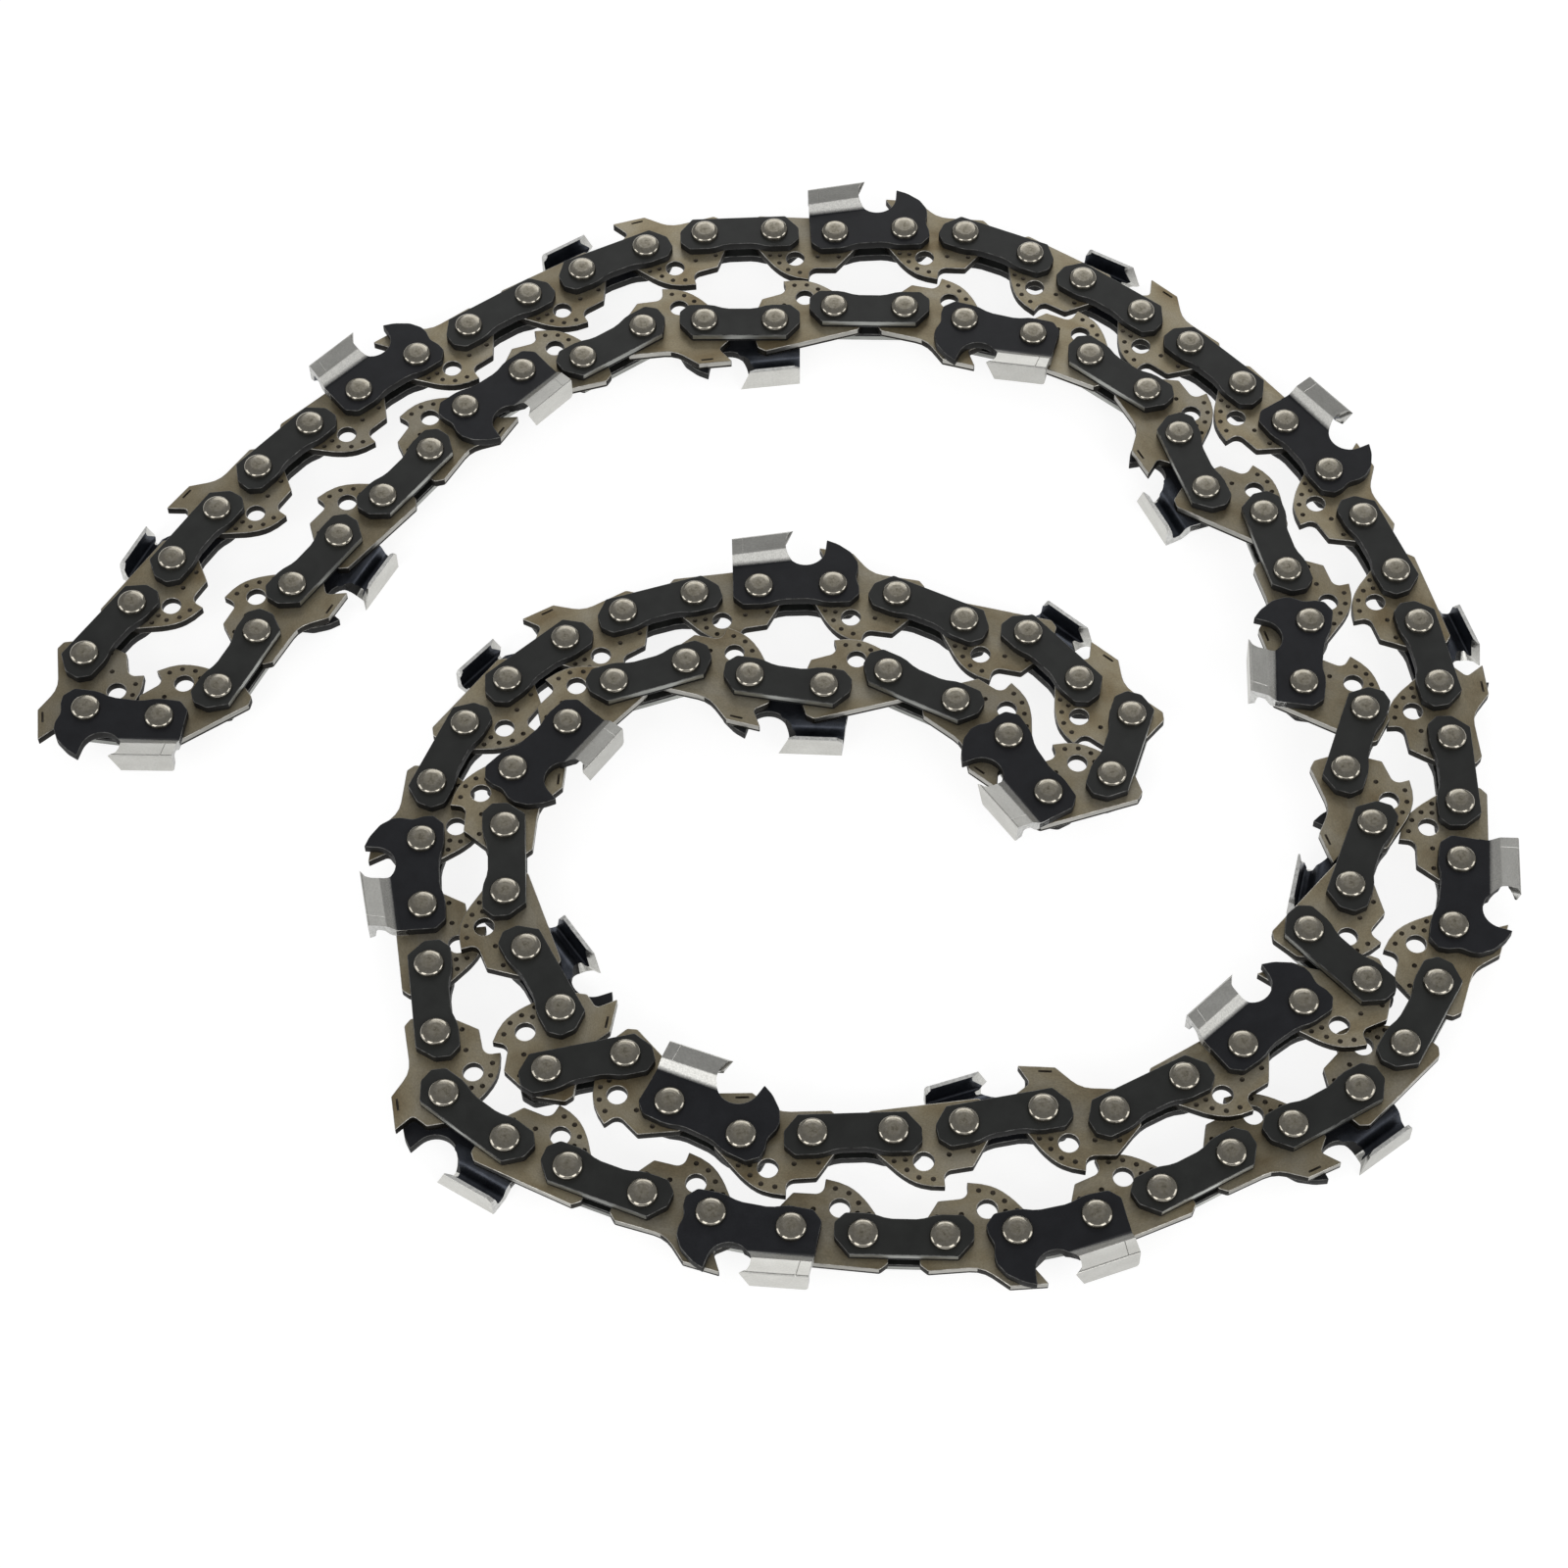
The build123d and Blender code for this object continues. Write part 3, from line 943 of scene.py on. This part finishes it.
def add_link(work, kind, place, slots):
    """Add a link to the mesh of a piece, with its tint and shifted grain, and its materials to the slots."""
    form = forms[kind]
    first_vertex, first_face = len(work.verts), len(work.faces)
    work.from_mesh(form)
    work.verts.ensure_lookup_table()
    work.faces.ensure_lookup_table()
    vertices = work.verts[first_vertex:]
    faces = work.faces[first_face:]
    bmesh.ops.transform(work, matrix=place, verts=vertices)
    if place.determinant() < 0:
        bmesh.ops.reverse_faces(work, faces=faces)
    tint = tint_of(place)
    shift = Vector() if kind == "head" else Vector([step * tint for step in GRAIN_SHIFT])
    tints = work.verts.layers.float["tint"]
    local = work.verts.layers.float_vector["local"]
    for vertex in vertices:
        vertex[tints] = tint
        vertex[local] = vertex[local] + shift
    slots.extend(material for material in form.materials if material not in slots)
    new_indices = [slots.index(material) for material in form.materials]
    for face in faces:
        face.material_index = new_indices[face.material_index]


def dress(node, placed):
    """One piece for a node: every link of it at its place."""
    name = f"{node}_steel"
    work = bmesh.new()
    work.verts.layers.float.new("tint")
    slots = []
    for kind, place in placed:
        add_link(work, kind, place, slots)
    mesh = bpy.data.meshes.new(name)
    work.to_mesh(mesh)
    work.free()
    for material in slots:
        mesh.materials.append(material)
    piece = bpy.data.objects.new(name, mesh)
    bpy.context.scene.collection.objects.link(piece)
    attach(piece, "root")
    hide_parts(node)


for node, placed in {**drive_places, **side_places, **head_places}.items():
    dress(node, placed)


# Floor, lights, world and camera

# Floor: half its side in metres, its glow and its grey, then the colour and level of the world
FLOOR_HALF = 40
FLOOR_GLOW = 0.85
FLOOR_GREY = (0.3, 0.3, 0.3)
WORLD_WHITE = (1, 1, 1)
WORLD_LEVEL = 0.29

# Area lights as place and size in metres, and power in watts
SOFTBOXES = {
    "left_front_softbox": ((-0.7, -0.9, 0.6), (0.5, 0.9), 3.6),
    "right_front_softbox": ((0.7, -0.9, 0.6), (0.5, 0.9), 3.6),
    "front_panel": ((0, -1.3, 1.0), (1.3, 0.5), 2.0),
    "left_softbox": ((-1.3, -0.1, 0.5), (0.7, 0.7), 3),
    "right_softbox": ((1.3, -0.1, 0.5), (0.7, 0.7), 3),
    "back_softbox": ((0.1, 1.2, 0.65), (0.9, 0.9), 4),
}


def white_floor():
    """Pale floor that stays white to the camera and in reflections, and takes a soft shadow."""
    look = Look("floor")
    nodes = look.tree.nodes
    nodes.remove(look.shader)
    rays = look.add("ShaderNodeLightPath", {}).outputs
    seen = look.calculate("MAXIMUM", rays["Is Camera Ray"], rays["Is Glossy Ray"])
    seen_through = look.calculate("MAXIMUM", seen, rays["Is Transmission Ray"])
    level = look.calculate("MULTIPLY", seen_through, FLOOR_GLOW)
    glow = look.add("ShaderNodeEmission", {"Strength": level})
    diffuse = look.add("ShaderNodeBsdfDiffuse", {"Color": (*FLOOR_GREY, 1)})
    both = look.add("ShaderNodeAddShader", {0: glow.outputs["Emission"], 1: diffuse.outputs["BSDF"]})
    look.feed(nodes["Material Output"], {"Surface": both.outputs["Shader"]})
    return look.material


floor_corners = [
    (-FLOOR_HALF, -FLOOR_HALF),
    (FLOOR_HALF, -FLOOR_HALF),
    (FLOOR_HALF, FLOOR_HALF),
    (-FLOOR_HALF, FLOOR_HALF),
]
floor_mesh = bpy.data.meshes.new("floor")
floor_mesh.from_pydata([(x, y, cad_box[0].z) for x, y in floor_corners], [], [(0, 1, 2, 3)])
floor_mesh.materials.append(white_floor())
floor = bpy.data.objects.new("floor", floor_mesh)
bpy.context.scene.collection.objects.link(floor)


def softbox(name, place, size, power):
    """Area light that faces the middle of the frame."""
    lamp = bpy.data.lights.new(name, "AREA")
    lamp.shape = "RECTANGLE"
    lamp.size, lamp.size_y = size
    lamp.energy = power
    light = bpy.data.objects.new(name, lamp)
    light.location = place
    light.rotation_euler = (-Vector(place)).to_track_quat("-Z", "Y").to_euler()
    bpy.context.scene.collection.objects.link(light)


for name, (place, size, power) in SOFTBOXES.items():
    softbox(name, place, size, power)

world = bpy.data.worlds.new("studio")
world.use_nodes = True
surroundings = world.node_tree.nodes["Background"]
surroundings.inputs["Color"].default_value = (*WORLD_WHITE, 1)
surroundings.inputs["Strength"].default_value = WORLD_LEVEL
bpy.context.scene.world = world

lens = bpy.data.cameras.new("camera")
lens.angle = 2 * math.atan(IMAGE_PIXELS / 2 / FOCAL_PIXELS)
camera = bpy.data.objects.new("camera", lens)
forward = Vector((0, math.cos(ELEVATION), -math.sin(ELEVATION)))
level_up = Vector((0, math.sin(ELEVATION), math.cos(ELEVATION)))
level_right = Vector((1, 0, 0))
right = level_right * math.cos(ROLL) - level_up * math.sin(ROLL)
up = level_right * math.sin(ROLL) + level_up * math.cos(ROLL)
camera_turn = Matrix((right, up, -forward)).transposed().to_4x4()
camera.matrix_world = Matrix.Translation(AIM - forward * DISTANCE) @ camera_turn
bpy.context.scene.collection.objects.link(camera)
bpy.context.scene.camera = camera

bpy.context.scene.view_settings.view_transform = "Standard"

bpy.context.view_layer.update()
